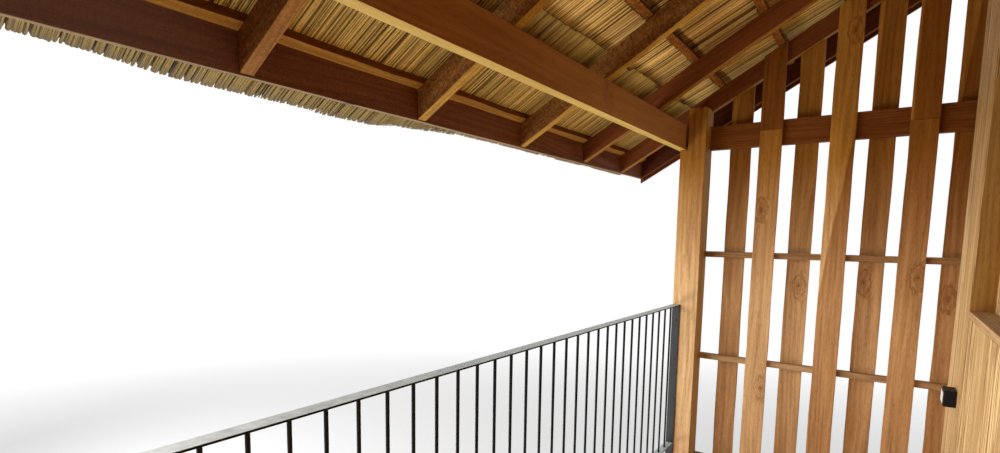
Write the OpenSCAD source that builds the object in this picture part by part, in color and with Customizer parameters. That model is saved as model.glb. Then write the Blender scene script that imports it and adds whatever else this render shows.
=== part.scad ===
// Veranda of a stilt house: a railed deck on stilts under a thatched lean-to roof, with a
// slatted screen across one end and the front wall of the house behind it.
//
// Millimetres. X runs along the veranda from the screen to the open end, Y from the railed
// front to the house wall, Z up from the ground. The origin lies on the ground, under the
// middle of the roof.

/* [Stilts and deck] */
// top of the deck above the ground
deck_z = 1800; // [600:50:3000]
// thickness of the deck boards
deck_t = 28; // [18:1:40]
// width of a post along the veranda
post_w = 150; // [100:5:200]
// depth of a post towards the house
post_d = 155; // [100:5:200]
// height of a joist
joist_h = 120; // [80:5:200]
// height of a bearer below the joists
bearer_h = 150; // [100:5:250]
// thickness of bearers, joists and the eave beam
beam_t = 50; // [35:1:80]

/* [Plan] */
// distances between rafters, counted from the screen
rafter_bays = [575, 695, 752, 737, 735, 735];
// posts' front faces to the house wall
veranda_depth = 1429; // [900:10:3000]
// back of the fascia board ahead of the posts
eave_overhang = 448; // [200:2:800]
// thatch tips ahead of the back of the fascia board
tip_overhang = 280; // [100:1:400]
// gable overhang, from the last rafter over a post to the fly rafter
gable_overhang = 395; // [200:5:800]

/* [Roof] */
// pitch of the roof in degrees
pitch = 29.64; // [15:0.01:45]
// underside of the eave beam above the deck
beam_z = 2038; // [1800:1:2600]
// height of the eave beam
beam_h = 150; // [100:1:250]
// width of a rafter
rafter_w = 45; // [35:1:80]
// depth of a rafter across the slope
rafter_d = 102; // [80:1:200]
// width and thickness of a purlin
purlin = 36; // [25:1:60]
// distance between purlins in plan
purlin_step = 322; // [200:1:500]
// number of purlins
purlin_rows = 8; // [4:1:14]
// roof past the last purlin, in plan
top_overhang = 63; // [0:1:200]
// height of the fascia board
fascia_h = 150; // [100:5:250]
// thickness of the fascia and barge boards
board_t = 22; // [15:1:40]
// how far the barge boards hang below the rafters
barge_drop = 20; // [0:1:80]
// thickness of a thatch course
thatch_t = 26; // [15:1:60]
// head of the eave course past the purlin it lies on
eave_head = 97; // [0:1:150]

/* [Screen] */
// width of a slat
slat_w = 122; // [60:1:200]
// thickness of a slat
slat_t = 22; // [15:1:40]
// middles of the slats, measured from the back of the post
slat_middles = [172, 352, 536, 718, 900, 1078, 1267];
// underside of each rail above the deck, and its height
screen_rails = [[0, 40], [694, 35], [1362, 37], [2040, 146]];

/* [Railing] */
// top of the handrail above the deck
handrail_z = 1050; // [800:10:1200]
// width of the flat bars that the rails are made of
rail_w = 50; // [30:1:70]
// thickness of the flat bars
rail_t = 6; // [4:1:12]
// top of the bottom rail above the deck
bottom_rail_z = 118; // [80:1:250]
// diameter of a round baluster
baluster_d = 12; // [8:1:20]
// distance between balusters, in the panel by the screen and in the other panel
baluster_steps = [105.9, 101.7];
// thickness of the plates that hold the rails to the posts
plate_t = 7; // [4:1:12]

/* [House wall] */
// thickness of the wall
wall_t = 120; // [80:5:200]
// height of the plate on top of the wall
wall_plate_h = 60; // [40:5:100]
// edge of the window opening from the end of the wall
window_inset = 565; // [200:5:1500]
// width of the window opening
window_w = 1200; // [600:10:2400]
// height of the window opening
window_h = 1074; // [600:2:1500]
// top of the window sill above the deck
sill_z = 1186; // [600:2:1400]

/* [Hidden] */
$fn = 48;
eps = 1;

// plan lines, from the front to the back
roof_depth = tip_overhang + (purlin_rows - 1) * purlin_step + purlin * cos(pitch) + top_overhang;
y_tip = -roof_depth / 2;
y_fascia = y_tip + tip_overhang;
y_post = y_fascia + eave_overhang;
y_beam = y_post - 16;
y_wall = y_post + veranda_depth;
y_top = roof_depth / 2;

// plan lines along the veranda
function sum_to(list, n) = n == 0 ? 0 : list[n - 1] + sum_to(list, n - 1);
rafter_span = sum_to(rafter_bays, len(rafter_bays));
rafter_x = [for (i = [0 : len(rafter_bays)]) sum_to(rafter_bays, i) - rafter_span / 2];
x_end = rafter_span / 2 + rafter_w / 2;
x_fly = rafter_span / 2 + gable_overhang;
x_barge = x_fly + rafter_w / 2;
x_thatch = x_barge + board_t + 46;
x_wall = x_end - 90;

// roof plane: underside of the rafters, 20 above the eave beam at the beam's inner face
function roof_z(y) = deck_z + beam_z + beam_h + 20 + (y - y_beam - beam_t) * tan(pitch);
rafter_v = rafter_d / cos(pitch);
purlin_v = purlin / cos(pitch);
function purlin_y(row) = y_fascia + row * purlin_step;

// Height of the thatch's layers over the purlins, plumb. A course's head lies on purlin n;
// from there its underside rises towards the front by one thickness for each purlin row.
thatch_v = thatch_t / cos(pitch);
function under_course(n, y) = thatch_v * (purlin_y(n) - y) / purlin_step;

straw = [0.72, 0.60, 0.36];
teak = [0.66, 0.42, 0.22];
dark_teak = [0.38, 0.20, 0.12];
wall_teak = [0.80, 0.62, 0.38];
black_steel = [0.07, 0.07, 0.08];

// solid between two X values with a polygon of [y, z] points as its section
module yz_prism(points, x0, x1) {
    translate([x0, 0, 0]) rotate([90, 0, 90]) linear_extrude(x1 - x0) polygon(points);
}

// box given by its lower and its upper corner
module box(low, high) {
    translate(low) cube(high - low);
}

// the same piece at both ends of the veranda
module both_ends() {
    children();
    mirror([1, 0, 0]) children();
}

// band along the slope between y0 and y1, plumb at both ends
module slope_board(y0, y1, x0, x1, below, above) {
    yz_prism([[y0, roof_z(y0) - below], [y1, roof_z(y1) - below],
              [y1, roof_z(y1) + above], [y0, roof_z(y0) + above]], x0, x1);
}

// eave beam and wall plate, which every rafter is notched over
module eave_beam_solid() {
    z = deck_z + beam_z;
    box([-x_barge, y_beam, z], [x_barge, y_beam + beam_t, z + beam_h]);
}

module wall_plate_solid() {
    z = roof_z(y_wall) + 8;
    box([-x_barge, y_wall, z - wall_plate_h], [x_barge, y_wall + wall_t, z]);
}

module rafter_at(x) {
    difference() {
        slope_board(y_fascia, y_top, x - rafter_w / 2, x + rafter_w / 2, 0, rafter_v);
        eave_beam_solid();
        wall_plate_solid();
    }
}

// front post: a stilt from the ground to the eave. Its head is cut back to a tongue behind
// the eave beam, and the end rafter is housed into the tongue's outer side.
module front_post() {
    shoulder = deck_z + beam_z;
    difference() {
        box([-x_end, y_post, 0], [-x_end + post_w, y_post + post_d, shoulder + 251]);
        box([-x_end - eps, y_post - eps, shoulder],
            [-x_end + post_w + eps, y_beam + beam_t + 12, shoulder + 300]);
        slope_board(y_fascia, y_top, -x_end - eps, -x_end + rafter_w, 0, rafter_v);
    }
}

module corner_post() {
    color(teak) front_post();
}

module far_post() {
    color(teak) mirror([1, 0, 0]) front_post();
}

module mid_stilt() {
    color(teak) box([-post_w / 2, y_post, 0],
        [post_w / 2, y_post + post_d, deck_z - deck_t - joist_h]);
}

module rear_stilts() {
    color(teak) for (x = [-x_end, -post_w / 2, x_end - post_w])
        box([x, y_wall + wall_t - post_d, 0],
            [x + post_w, y_wall + wall_t, deck_z - deck_t - joist_h]);
}

module floor_bearers() {
    top = deck_z - deck_t - joist_h;
    color(dark_teak) for (y = [y_post + post_d, y_wall + wall_t - post_d - beam_t])
        box([-x_end, y, top - bearer_h], [x_end, y + beam_t, top]);
}

// joist along the front edge, from post to post
module rim_joist() {
    top = deck_z - deck_t;
    inner = x_end - post_w;
    color(dark_teak) box([-inner, y_post, top - joist_h], [inner, y_post + beam_t, top]);
}

// joists across the veranda, behind the rim joist
module joists() {
    top = deck_z - deck_t;
    inner = x_end - post_w;
    gap = (2 * inner - beam_t) / 6;
    color(dark_teak) for (i = [0 : 6])
        box([-inner + i * gap, y_post + beam_t, top - joist_h],
            [-inner + i * gap + beam_t, y_wall + wall_t, top]);
}

module deck() {
    color(teak) difference() {
        box([-x_end, y_post, deck_z - deck_t], [x_end, y_wall + wall_t, deck_z]);
        both_ends() box([-x_end - eps, y_post - eps, 0],
            [-x_end + post_w, y_post + post_d, 2 * deck_z]);
    }
}

module eave_beam() {
    color(dark_teak) eave_beam_solid();
}

module wall_plate() {
    color(dark_teak) wall_plate_solid();
}

module end_rafters() {
    color(dark_teak) both_ends() rafter_at(rafter_x[0]);
}

module rafters() {
    color(dark_teak) for (i = [1 : len(rafter_bays) - 1]) rafter_at(rafter_x[i]);
}

module fly_rafters() {
    color(dark_teak) both_ends() rafter_at(-x_fly);
}

module barge_boards() {
    color(dark_teak) both_ends()
        slope_board(y_fascia - board_t, y_top, -x_barge - board_t, -x_barge,
            barge_drop / cos(pitch), rafter_v + purlin_v);
}

module fascia_solid() {
    z = roof_z(y_fascia) - 5;
    box([-x_barge, y_fascia - board_t, z], [x_barge, y_fascia, z + fascia_h]);
}

module fascia_board() {
    color(dark_teak) fascia_solid();
}

// battens over the rafters; the lowest is bevelled to fit behind the fascia board
module purlins() {
    color(dark_teak) difference() {
        for (row = [0 : purlin_rows - 1])
            translate([-x_barge, purlin_y(row), roof_z(purlin_y(row)) + rafter_v])
                rotate([pitch, 0, 0]) cube([2 * x_barge, purlin, purlin]);
        fascia_solid();
    }
}

// layer of thatch between y0 and y1 whose lower and upper faces are straight between the
// heights given at both ends, over the purlins' upper faces
module thatch_layer(y0, y1, low, high) {
    z0 = roof_z(y0) + rafter_v + purlin_v;
    z1 = roof_z(y1) + rafter_v + purlin_v;
    color(straw) yz_prism([[y0, z0 + low[0]], [y1, z1 + low[1]],
                           [y1, z1 + high[1]], [y0, z0 + high[0]]], -x_thatch, x_thatch);
}

// The eave course lies flat on two purlins and the fascia board. It is thick at the tips,
// so that the courses above lie at their tilt, and its head ends past the second purlin.
module eave_course() {
    head = purlin_y(1) + purlin * cos(pitch) + eave_head;
    thatch_layer(y_tip, head, [0, 0], [under_course(2, y_tip), under_course(2, head)]);
}

// A higher course covers two bays between purlins: its head lies on its own purlin and
// its butt on the course before it, three thicknesses up at the upper face. The last one
// runs on to the top of the roof.
module thatch_course(n) {
    butt = purlin_y(n - 2);
    head = n == purlin_rows - 1 ? y_top : purlin_y(n);
    thatch_layer(butt, head, [under_course(n, butt), under_course(n, head)],
        [under_course(n + 1, butt), under_course(n + 1, head)]);
}

module screen_rail(i) {
    z = deck_z + screen_rails[i][0];
    color(teak) box([-x_end, y_post + post_d, z],
        [-x_end + rafter_w, y_wall + 10, z + screen_rails[i][1]]);
}

// upright with its head cut to the slope of the roof
module slat(n, x0, above) {
    y0 = y_post + post_d + slat_middles[n] - slat_w / 2;
    y1 = y0 + slat_w;
    yz_prism([[y0, deck_z], [y1, deck_z], [y1, roof_z(y1) + above], [y0, roof_z(y0) + above]],
        x0, x0 + slat_t);
}

// slats in front of the rails run up past the end rafter to the purlins
module front_slats() {
    color(teak) for (n = [1, 3, 5]) slat(n, -x_end + rafter_w, rafter_v);
}

// slats behind the rails end halfway up the end rafter
module back_slats() {
    color(teak) for (n = [0, 2, 4, 6]) slat(n, -x_end - slat_t, rafter_v / 2);
}

// flat bar between the end plates, laid flat
module rail_bar(top) {
    inner = x_end - post_w - plate_t;
    box([-inner, y_post, deck_z + top - rail_t], [inner, y_post + rail_w, deck_z + top]);
}

module handrail() {
    color(black_steel) rail_bar(handrail_z);
}

module bottom_rail() {
    color(black_steel) rail_bar(bottom_rail_z);
}

// round bars between the two rails, in two panels with spacings of their own
module balusters() {
    inner = x_end - post_w;
    first = 110 - inner;
    middle = first + 17 * baluster_steps[0];
    more = floor((inner - 60 - middle) / baluster_steps[1]);
    places = [for (i = [0 : 17]) first + i * baluster_steps[0],
              for (i = [1 : more]) middle + i * baluster_steps[1]];
    color(black_steel) for (x = places)
        translate([x, y_post + rail_w / 2, deck_z + bottom_rail_z])
            cylinder(h = handrail_z - rail_t - bottom_rail_z, d = baluster_d);
}

// plates on the posts that the rails end on; they run down past the bottom rail
module rail_plates() {
    inner = x_end - post_w;
    color(black_steel) both_ends()
        box([-inner, y_post, deck_z + 20],
            [-inner + plate_t, y_post + rail_w, deck_z + handrail_z]);
}

// board wall with a rounded corner at both ends and the window opening cut through
module wall() {
    r = 12;
    top = roof_z(y_wall) + 8 - wall_plate_h;
    x_window = -x_wall + window_inset;
    color(wall_teak) difference() {
        translate([0, 0, deck_z]) linear_extrude(top - deck_z) union() {
            translate([-x_wall + r, y_wall]) square([2 * (x_wall - r), wall_t]);
            translate([-x_wall, y_wall + r]) square([2 * x_wall, wall_t - r]);
            for (x = [-x_wall + r, x_wall - r]) translate([x, y_wall + r]) circle(r);
        }
        box([x_window, y_wall - eps, deck_z + sill_z - 30],
            [x_window + window_w, y_wall + wall_t + eps, deck_z + sill_z + window_h]);
    }
}

// uprights beyond the ends of the wall, which the rails of the screen run up to
module wall_corners() {
    top = roof_z(y_wall) + 8 - wall_plate_h;
    color(wall_teak) both_ends()
        box([-x_end, y_wall + 10, deck_z], [-x_wall, y_wall + wall_t, top]);
}

module window_sill() {
    x = -x_wall + window_inset;
    z = deck_z + sill_z;
    color(dark_teak) box([x, y_wall, z - 30], [x + window_w, y_wall + wall_t, z]);
}

// frame of the window at the inner side of the wall, with a post in its middle
module window_frame() {
    x0 = -x_wall + window_inset;
    x1 = x0 + window_w;
    z0 = deck_z + sill_z;
    z1 = z0 + window_h;
    y0 = y_wall + 82;
    half = (window_w - 3 * 45) / 2;
    color(wall_teak) difference() {
        box([x0, y0, z0], [x1, y_wall + wall_t, z1]);
        for (x = [x0 + 45, x0 + 90 + half])
            box([x, y0 - eps, z0 + 45], [x + half, y_wall + wall_t + eps, z1 - 45]);
    }
}

module window_glass() {
    x0 = -x_wall + window_inset;
    half = (window_w - 3 * 45) / 2;
    z0 = deck_z + sill_z;
    color([0.75, 0.85, 0.88, 0.35]) for (x = [x0 + 45, x0 + 90 + half])
        box([x, y_wall + 98, z0 + 45], [x + half, y_wall + 103, z0 + window_h - 45]);
}

// small flush box light beside the screen, with its lens towards the front
module wall_lamp() {
    x = -1694;
    z = deck_z + 732;
    color(black_steel) box([x, y_wall - 48, z], [x + 107, y_wall, z + 75]);
}

module lamp_lens() {
    x = -1694;
    z = deck_z + 732;
    color([0.92, 0.93, 0.90]) box([x + 12, y_wall - 51, z + 12], [x + 95, y_wall - 48, z + 63]);
}

corner_post();
far_post();
mid_stilt();
rear_stilts();
floor_bearers();
rim_joist();
joists();
deck();
eave_beam();
wall_plate();
end_rafters();
rafters();
fly_rafters();
barge_boards();
fascia_board();
purlins();
eave_course();  // thatch_course_1
thatch_course(2);  // thatch_course_2
thatch_course(3);  // thatch_course_3
thatch_course(4);  // thatch_course_4
thatch_course(5);  // thatch_course_5
thatch_course(6);  // thatch_course_6
thatch_course(7);  // thatch_course_7
screen_rail(0);  // screen_foot_rail
screen_rail(1);  // screen_low_rail
screen_rail(2);  // screen_mid_rail
screen_rail(3);  // screen_top_rail
front_slats();
back_slats();
handrail();
bottom_rail();
balusters();
rail_plates();
wall();
wall_corners();
window_sill();
window_frame();
window_glass();
wall_lamp();
lamp_lens();
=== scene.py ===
# %% [markdown]
# # Veranda of a stilt house
#
# The real thing is a deck on stilts in front of a timber house. A lean-to roof of leaf
# thatch covers it, a screen of upright slats closes one end, and a black steel railing
# runs along the front. The solids come from the CAD frame. Here they get sawn and planed
# timber, single leaf strips, boards with joints, and paint.

# %% Load the frame
import math
import random

import bmesh
import bpy
from mathutils import Matrix, Vector, noise


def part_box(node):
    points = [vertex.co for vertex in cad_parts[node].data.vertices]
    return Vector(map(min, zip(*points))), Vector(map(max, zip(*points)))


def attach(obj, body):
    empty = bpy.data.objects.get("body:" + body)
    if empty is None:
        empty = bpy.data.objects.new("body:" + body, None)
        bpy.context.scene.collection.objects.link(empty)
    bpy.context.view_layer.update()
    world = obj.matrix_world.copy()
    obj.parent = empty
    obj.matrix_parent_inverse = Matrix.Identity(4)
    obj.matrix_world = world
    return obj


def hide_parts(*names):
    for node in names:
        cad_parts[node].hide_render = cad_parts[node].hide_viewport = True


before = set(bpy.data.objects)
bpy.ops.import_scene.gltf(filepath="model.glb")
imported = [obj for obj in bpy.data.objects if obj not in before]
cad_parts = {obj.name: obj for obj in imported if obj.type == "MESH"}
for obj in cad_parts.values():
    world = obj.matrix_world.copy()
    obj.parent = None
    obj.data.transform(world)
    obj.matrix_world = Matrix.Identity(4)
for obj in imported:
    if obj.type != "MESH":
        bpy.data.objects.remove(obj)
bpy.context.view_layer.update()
scene = bpy.context.scene
print(len(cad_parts), "nodes from the frame")

# %% [markdown]
# ## Camera
#
# The photograph was taken from the deck close to the house wall, past the corner post and
# out over the railing. The lens is very wide, so each post leans in the picture. A camera is
# a place, three turns and a lens; the vertical shift stands for the part of the picture
# that was cut off.

# %% Camera
IMAGE_WIDTH = 1000
IMAGE_HEIGHT = 453
FOCAL_PIXELS = 542.4
CENTRE_ROW = 294.8
SENSOR_MM = 36.0
EYE = Vector((1.553, 0.54785, 3.27))
YAW, TILT, ROLL = (math.radians(angle) for angle in (35.55, 6.09, 0.90))

forward = Vector((-math.cos(YAW) * math.cos(TILT), -math.sin(YAW) * math.cos(TILT), -math.sin(TILT)))
level = forward.cross(Vector((0, 0, 1))).normalized()
upright = level.cross(forward)
picture_x = level * math.cos(ROLL) + upright * math.sin(ROLL)
picture_y = upright * math.cos(ROLL) - level * math.sin(ROLL)

lens = bpy.data.cameras.new("veranda_camera")
lens.sensor_width = SENSOR_MM
lens.lens = FOCAL_PIXELS * SENSOR_MM / IMAGE_WIDTH
lens.shift_y = (CENTRE_ROW - IMAGE_HEIGHT / 2) / IMAGE_WIDTH
lens.clip_start = 0.02
camera = bpy.data.objects.new("veranda_camera", lens)
turn = Matrix((picture_x, picture_y, -forward)).transposed()
camera.matrix_world = Matrix.Translation(EYE) @ turn.to_4x4()
scene.collection.objects.link(camera)
scene.camera = camera
print("lens", round(lens.lens, 2), "mm")

# %% [markdown]
# ## Small helpers for node trees
#
# Materials and geometry are both trees of nodes. They could be drawn by hand in the node
# editor; written out, each number can be read and changed. One helper makes a node and
# fills its sockets. The short ones stand for the nodes that come again and again.


# %% Node helpers
def feed(tree, node, values):
    """Fills the named inputs of a node with values or with the sockets that feed them."""
    for label, value in values.items():
        if isinstance(value, bpy.types.NodeSocket):
            tree.links.new(value, node.inputs[label])
        else:
            node.inputs[label].default_value = value


def put(tree, kind, sockets=(), **options):
    """Makes a node; sockets maps a name or a number to a value or to the socket that feeds it."""
    node = tree.nodes.new(kind)
    for name, value in options.items():
        setattr(node, name, value)
    feed(tree, node, dict(sockets))
    return node


def reckon(tree, operation, *values, clamp=False):
    return put(tree, "ShaderNodeMath", enumerate(values), operation=operation, use_clamp=clamp).outputs[0]


def times(tree, a, b):
    return reckon(tree, "MULTIPLY", a, b)


def swing(tree, value, pattern, weight, clamp=False):
    """Adds a pattern that runs from 0 to 1, so that its middle leaves the value as it is."""
    return reckon(tree, "MULTIPLY_ADD", reckon(tree, "SUBTRACT", pattern, 0.5), weight, value, clamp=clamp)


def share_of(tree, value, low, high, to_low=0.0, to_high=1.0):
    """Maps value from low..high to to_low..to_high and holds it at the ends."""
    return put(tree, "ShaderNodeMapRange", enumerate((value, low, high, to_low, to_high))).outputs[0]


def vector_of(tree, operation, *values):
    return put(tree, "ShaderNodeVectorMath", enumerate(values), operation=operation).outputs[0]


def stretched(tree, place, x, y, z):
    """A small number for an axis draws the pattern out along that axis."""
    return vector_of(tree, "MULTIPLY", place, (x, y, z))


def number_of(tree, vector, axis):
    return put(tree, "ShaderNodeSeparateXYZ", {0: vector}).outputs[axis]


def mixed(tree, factor, a, b, how="MIX"):
    node = put(tree, "ShaderNodeMix", {0: factor, 6: a, 7: b}, data_type="RGBA", blend_type=how)
    return node.outputs[2]


def tinted(tree, share, colour, tint):
    """Multiplies the colour by the tint where the share is 1."""
    return mixed(tree, share, colour, (*tint, 1), "MULTIPLY")


def cloud(tree, place, scale, detail=2.0, roughness=0.5):
    """Soft noise from 0 to 1."""
    sockets = {"Vector": place, "Scale": scale, "Detail": detail, "Roughness": roughness}
    return put(tree, "ShaderNodeTexNoise", sockets).outputs["Fac"]


def cells_along(tree, spot, feature="F1"):
    """Cuts a line into cells about one unit long, each with a colour of its own."""
    return put(tree, "ShaderNodeTexVoronoi", {"W": spot, "Scale": 1.0}, voronoi_dimensions="1D",
               feature=feature)


print("node helpers ready")


# %% Group and material helpers
def new_group(name, inputs, outputs):
    """Shader group with sockets as (label, type, start value): tree, its inputs, output node."""
    tree = bpy.data.node_groups.new(name, "ShaderNodeTree")
    for label, kind, value in inputs:
        socket = tree.interface.new_socket(label, in_out="INPUT", socket_type="NodeSocket" + kind)
        if value is not None:
            socket.default_value = value
    for label, kind in outputs:
        tree.interface.new_socket(label, in_out="OUTPUT", socket_type="NodeSocket" + kind)
    return tree, tree.nodes.new("NodeGroupInput").outputs, tree.nodes.new("NodeGroupOutput")


def new_material(name):
    """An empty material, its tree, and the place in the piece's own space in metres."""
    material = bpy.data.materials.new(name)
    material.use_nodes = True
    tree = material.node_tree
    tree.nodes.clear()
    return material, tree, put(tree, "ShaderNodeTexCoord").outputs["Object"]


def attribute(tree, name):
    return put(tree, "ShaderNodeAttribute", attribute_name=name).outputs["Fac"]


def end_material(tree, sockets, height=None, strength=0.3, depth=0.0005):
    """Ends a material in a Principled shader; a height gives it a relief of that depth in metres."""
    if height is not None:
        relief = put(tree, "ShaderNodeBump", {"Strength": strength, "Distance": depth, "Height": height})
        sockets = {**sockets, "Normal": relief.outputs[0]}
    shader = put(tree, "ShaderNodeBsdfPrincipled", sockets)
    put(tree, "ShaderNodeOutputMaterial", {"Surface": shader.outputs[0]})


print("material helpers ready")

# %% [markdown]
# ## Timber grain
#
# Sawn hardwood shows bent growth rings, straight fibres, darker pores, pale sapwood along
# some edges, now and then a knot, and a tone of its own for each board. It could be painted
# as an image, but then each board would repeat. Here a shader group works it out in space.
# The attribute "board" shifts the grain, "tone" darkens or lightens the board and
# "sapwood" says how far a point is from the sapwood's edge, so neighbours differ.

# %% Grain inputs
grain_group, given, result = new_group(
    "timber grain",
    [
        ("Vector", "Vector", None),
        ("Board", "Float", 0.0),
        ("Light", "Color", (0.6, 0.36, 0.17, 1)),
        ("Dark", "Color", (0.3, 0.15, 0.06, 1)),
        ("Ring Scale", "Float", 20.0),
        ("Ring Strength", "Float", 0.35),
        ("Knots", "Float", 1.0),
        ("Sawn", "Float", 0.0),
        ("Saw Scale", "Float", 105.0),
        ("Tone", "Float", 1.0),
        ("Sapwood", "Float", 1.0),
        ("Placed Knot", "Float", 9.0),
    ],
    [("Color", "Color"), ("Height", "Float"), ("Roughness", "Float")],
)
SAPWOOD_TINT = (1.7, 2.1, 2.5)
SAW_TINT = (0.38, 0.25, 0.14)
BLADE_TINT = (0.45, 0.32, 0.25)
PORE_TINT = (0.35, 0.25, 0.2)
KNOT_TINT = (0.45, 0.28, 0.18)
HEART_TINT = (0.30, 0.17, 0.10)
print("grain inputs:", len(given) - 1)

# %% [markdown]
# A knot is the foot of a branch: a dark heart with rings of its own, and the grain flows
# round it. Small ones are scattered at random. The big ones stand where the real slats have
# them, and "Placed Knot" is the distance to the nearest of those; noise makes it uneven.


# %% Knots
def knots_in(tree, place, given):
    """Three masks: how near a knot is, its heart, and the area that it darkens."""
    spots = put(tree, "ShaderNodeTexVoronoi", {"Vector": stretched(tree, place, 1, 1, 0.4), "Scale": 5.0},
                feature="F1").outputs["Distance"]
    near = times(tree, reckon(tree, "POWER", share_of(tree, spots, 0.20, 0.02), 2.0), given["Knots"])
    placed = swing(tree, given["Placed Knot"], cloud(tree, place, 45.0, 3.0), 0.03)
    near_placed = reckon(tree, "POWER", share_of(tree, placed, 0.055, 0.0), 1.5)
    near = reckon(tree, "MAXIMUM", near, near_placed)
    heart = reckon(tree, "MULTIPLY", share_of(tree, spots, 0.075, 0.045), given["Knots"], clamp=True)
    heart = reckon(tree, "MAXIMUM", heart, share_of(tree, placed, 0.013, 0.003, 0.0, 0.6))
    ring = times(tree, share_of(tree, placed, 0.042, 0.035), share_of(tree, placed, 0.027, 0.034))
    dark = reckon(tree, "MAXIMUM", times(tree, near, 0.25), times(tree, near_placed, 0.45))
    dark = reckon(tree, "MAXIMUM", dark, times(tree, ring, 0.5))
    return near, heart, dark


# %% [markdown]
# Growth rings are circles about a pith far outside the board, pushed about by slow noise.
# Streaks, dashes, fibres and pores are noise drawn out along the grain, each at its own
# scale. All of them add up to one value that runs from the dark to the light colour.


# %% Rings and fibres
def growth_rings(tree, place, bend, near_knot, scale):
    """The bent space across the grain, and the rings in it."""
    push = vector_of(tree, "SUBTRACT", bend.outputs["Color"], (0.5, 0.5, 0.5))
    push = stretched(tree, push, 0.14, 0.14, 0.0)
    swirl = put(tree, "ShaderNodeCombineXYZ",
                {0: times(tree, near_knot, 0.09), 1: times(tree, near_knot, 0.06)})
    space = vector_of(tree, "ADD", vector_of(tree, "ADD", place, push), swirl.outputs[0])
    space = vector_of(tree, "ADD", stretched(tree, space, 1, 1, 0), (0.05, 0.09, 0))
    rings = put(tree, "ShaderNodeTexWave",
                {"Vector": space, "Scale": scale, "Distortion": 1.2, "Detail": 2.0, "Detail Scale": 1.5},
                wave_type="RINGS", rings_direction="Z", wave_profile="SIN")
    return space, rings.outputs["Fac"]


def sawn_surface(tree, colour, place, given):
    """Torn fibres and the marks of the blade; the first pattern also gives the relief."""
    torn = cloud(tree, stretched(tree, place, 1, 1, 1.2), given["Saw Scale"], 5.0, 0.85)
    dark = reckon(tree, "SUBTRACT", 1.0, share_of(tree, torn, 0.42, 0.58))
    colour = tinted(tree, times(tree, dark, given["Sawn"]), colour, SAW_TINT)
    blade = cloud(tree, stretched(tree, place, 0.06, 0.06, 1), 210.0, 3.0, 0.6)
    blade = share_of(tree, blade, 0.50, 0.66, 0.0, 0.45)
    return tinted(tree, times(tree, blade, given["Sawn"]), colour, BLADE_TINT), torn


def fill_grain_group(tree, given, result):
    away = put(tree, "ShaderNodeCombineXYZ",
               {i: times(tree, given["Board"], far) for i, far in enumerate((13.7, 7.9, 31.3))})
    place = vector_of(tree, "ADD", given["Vector"], away.outputs[0])
    slow = stretched(tree, place, 1, 1, 0.12)
    bend = put(tree, "ShaderNodeTexNoise", {"Vector": slow, "Scale": 5.0, "Detail": 2.0})
    near_knot, heart, around_knot = knots_in(tree, place, given)
    space, rings = growth_rings(tree, place, bend, near_knot, given["Ring Scale"])
    streak_space = vector_of(tree, "ADD", space, stretched(tree, place, 0, 0, 0.045))
    streaks = cloud(tree, streak_space, 38.0, 5.0, 0.65)
    dashes = share_of(tree, cloud(tree, stretched(tree, place, 1, 1, 0.14), 210.0), 0.56, 0.68)
    fibres = cloud(tree, stretched(tree, place, 1, 1, 0.02), 320.0, 3.0, 0.7)
    pores = share_of(tree, cloud(tree, stretched(tree, place, 1, 1, 0.05), 520.0, 1.0), 0.62, 0.70)

    value = times(tree, reckon(tree, "SUBTRACT", rings, 0.5), given["Ring Strength"])
    value = swing(tree, value, streaks, 1.9)
    value = reckon(tree, "MULTIPLY_ADD", dashes, -0.3, value)
    value = swing(tree, value, fibres, 0.9)
    value = swing(tree, value, cloud(tree, slow, 7.0, 3.0), 1.1)
    value = reckon(tree, "ADD", value, 0.58, clamp=True)
    colour = mixed(tree, value, given["Dark"], given["Light"])
    sap = swing(tree, given["Sapwood"], bend.outputs["Fac"], 0.05)
    colour = tinted(tree, share_of(tree, sap, 0.004, -0.004), colour, SAPWOOD_TINT)
    colour, torn = sawn_surface(tree, colour, place, given)
    colour = tinted(tree, times(tree, pores, 0.35), colour, PORE_TINT)
    colour = tinted(tree, around_knot, colour, KNOT_TINT)
    colour = tinted(tree, times(tree, heart, 0.7), colour, HEART_TINT)
    tone = given["Tone"]
    tint = put(tree, "ShaderNodeCombineColor",
               {0: tone, 1: reckon(tree, "POWER", tone, 1.5), 2: reckon(tree, "POWER", tone, 2.0)})
    colour = mixed(tree, 1.0, colour, tint.outputs[0], "MULTIPLY")

    height = reckon(tree, "MULTIPLY_ADD", streaks, 0.6, fibres)
    height = reckon(tree, "MULTIPLY_ADD", pores, -0.5, height)
    height = reckon(tree, "MULTIPLY_ADD", times(tree, torn, given["Sawn"]), 3.0, height)
    feed(tree, result, {"Color": colour, "Height": height,
                        "Roughness": share_of(tree, value, 0.0, 1.0, 0.72, 0.55)})


fill_grain_group(grain_group, given, result)
print("grain group:", len(grain_group.nodes), "nodes")

# %% [markdown]
# ## Timber finishes
#
# The same teak looks golden where it is oiled and planed, red-brown where the roof
# timbers were stained, and light orange where a sawn underside was left raw; that light
# orange is also painted light from below. Each finish is the grain group with its own
# colours. The grain has to run along the piece, so a Mapping node turns the piece's own
# axis onto the group's Z axis. Under the roof the colour deepens, partly for the deeper oil
# of sheltered wood and partly as painted shade of the roof. One end of the fascia carries a
# painted grey sky reflection, and one end of the beam face carries painted light.

# %% Finishes
PITCH = math.radians(29.64)
ALONG = {
    "x": (0, -math.pi / 2, 0),
    "y": (math.pi / 2, 0, 0),
    "z": (0, 0, 0),
    "slope": (math.pi / 2 - PITCH, 0, 0),
}
KNOT_LENGTH = Vector((1, 1, 0.5))
FAR_FROM_KNOT = 9.0
# Heights over which the colour deepens under the roof: sheltered oil and painted shade of the roof.
SHELTER_SHADE_FROM, SHELTER_SHADE_TO = 2.85, 3.75
SHELTER_AND_SHADE_TINT = (0.56, 0.38, 0.122)


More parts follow.
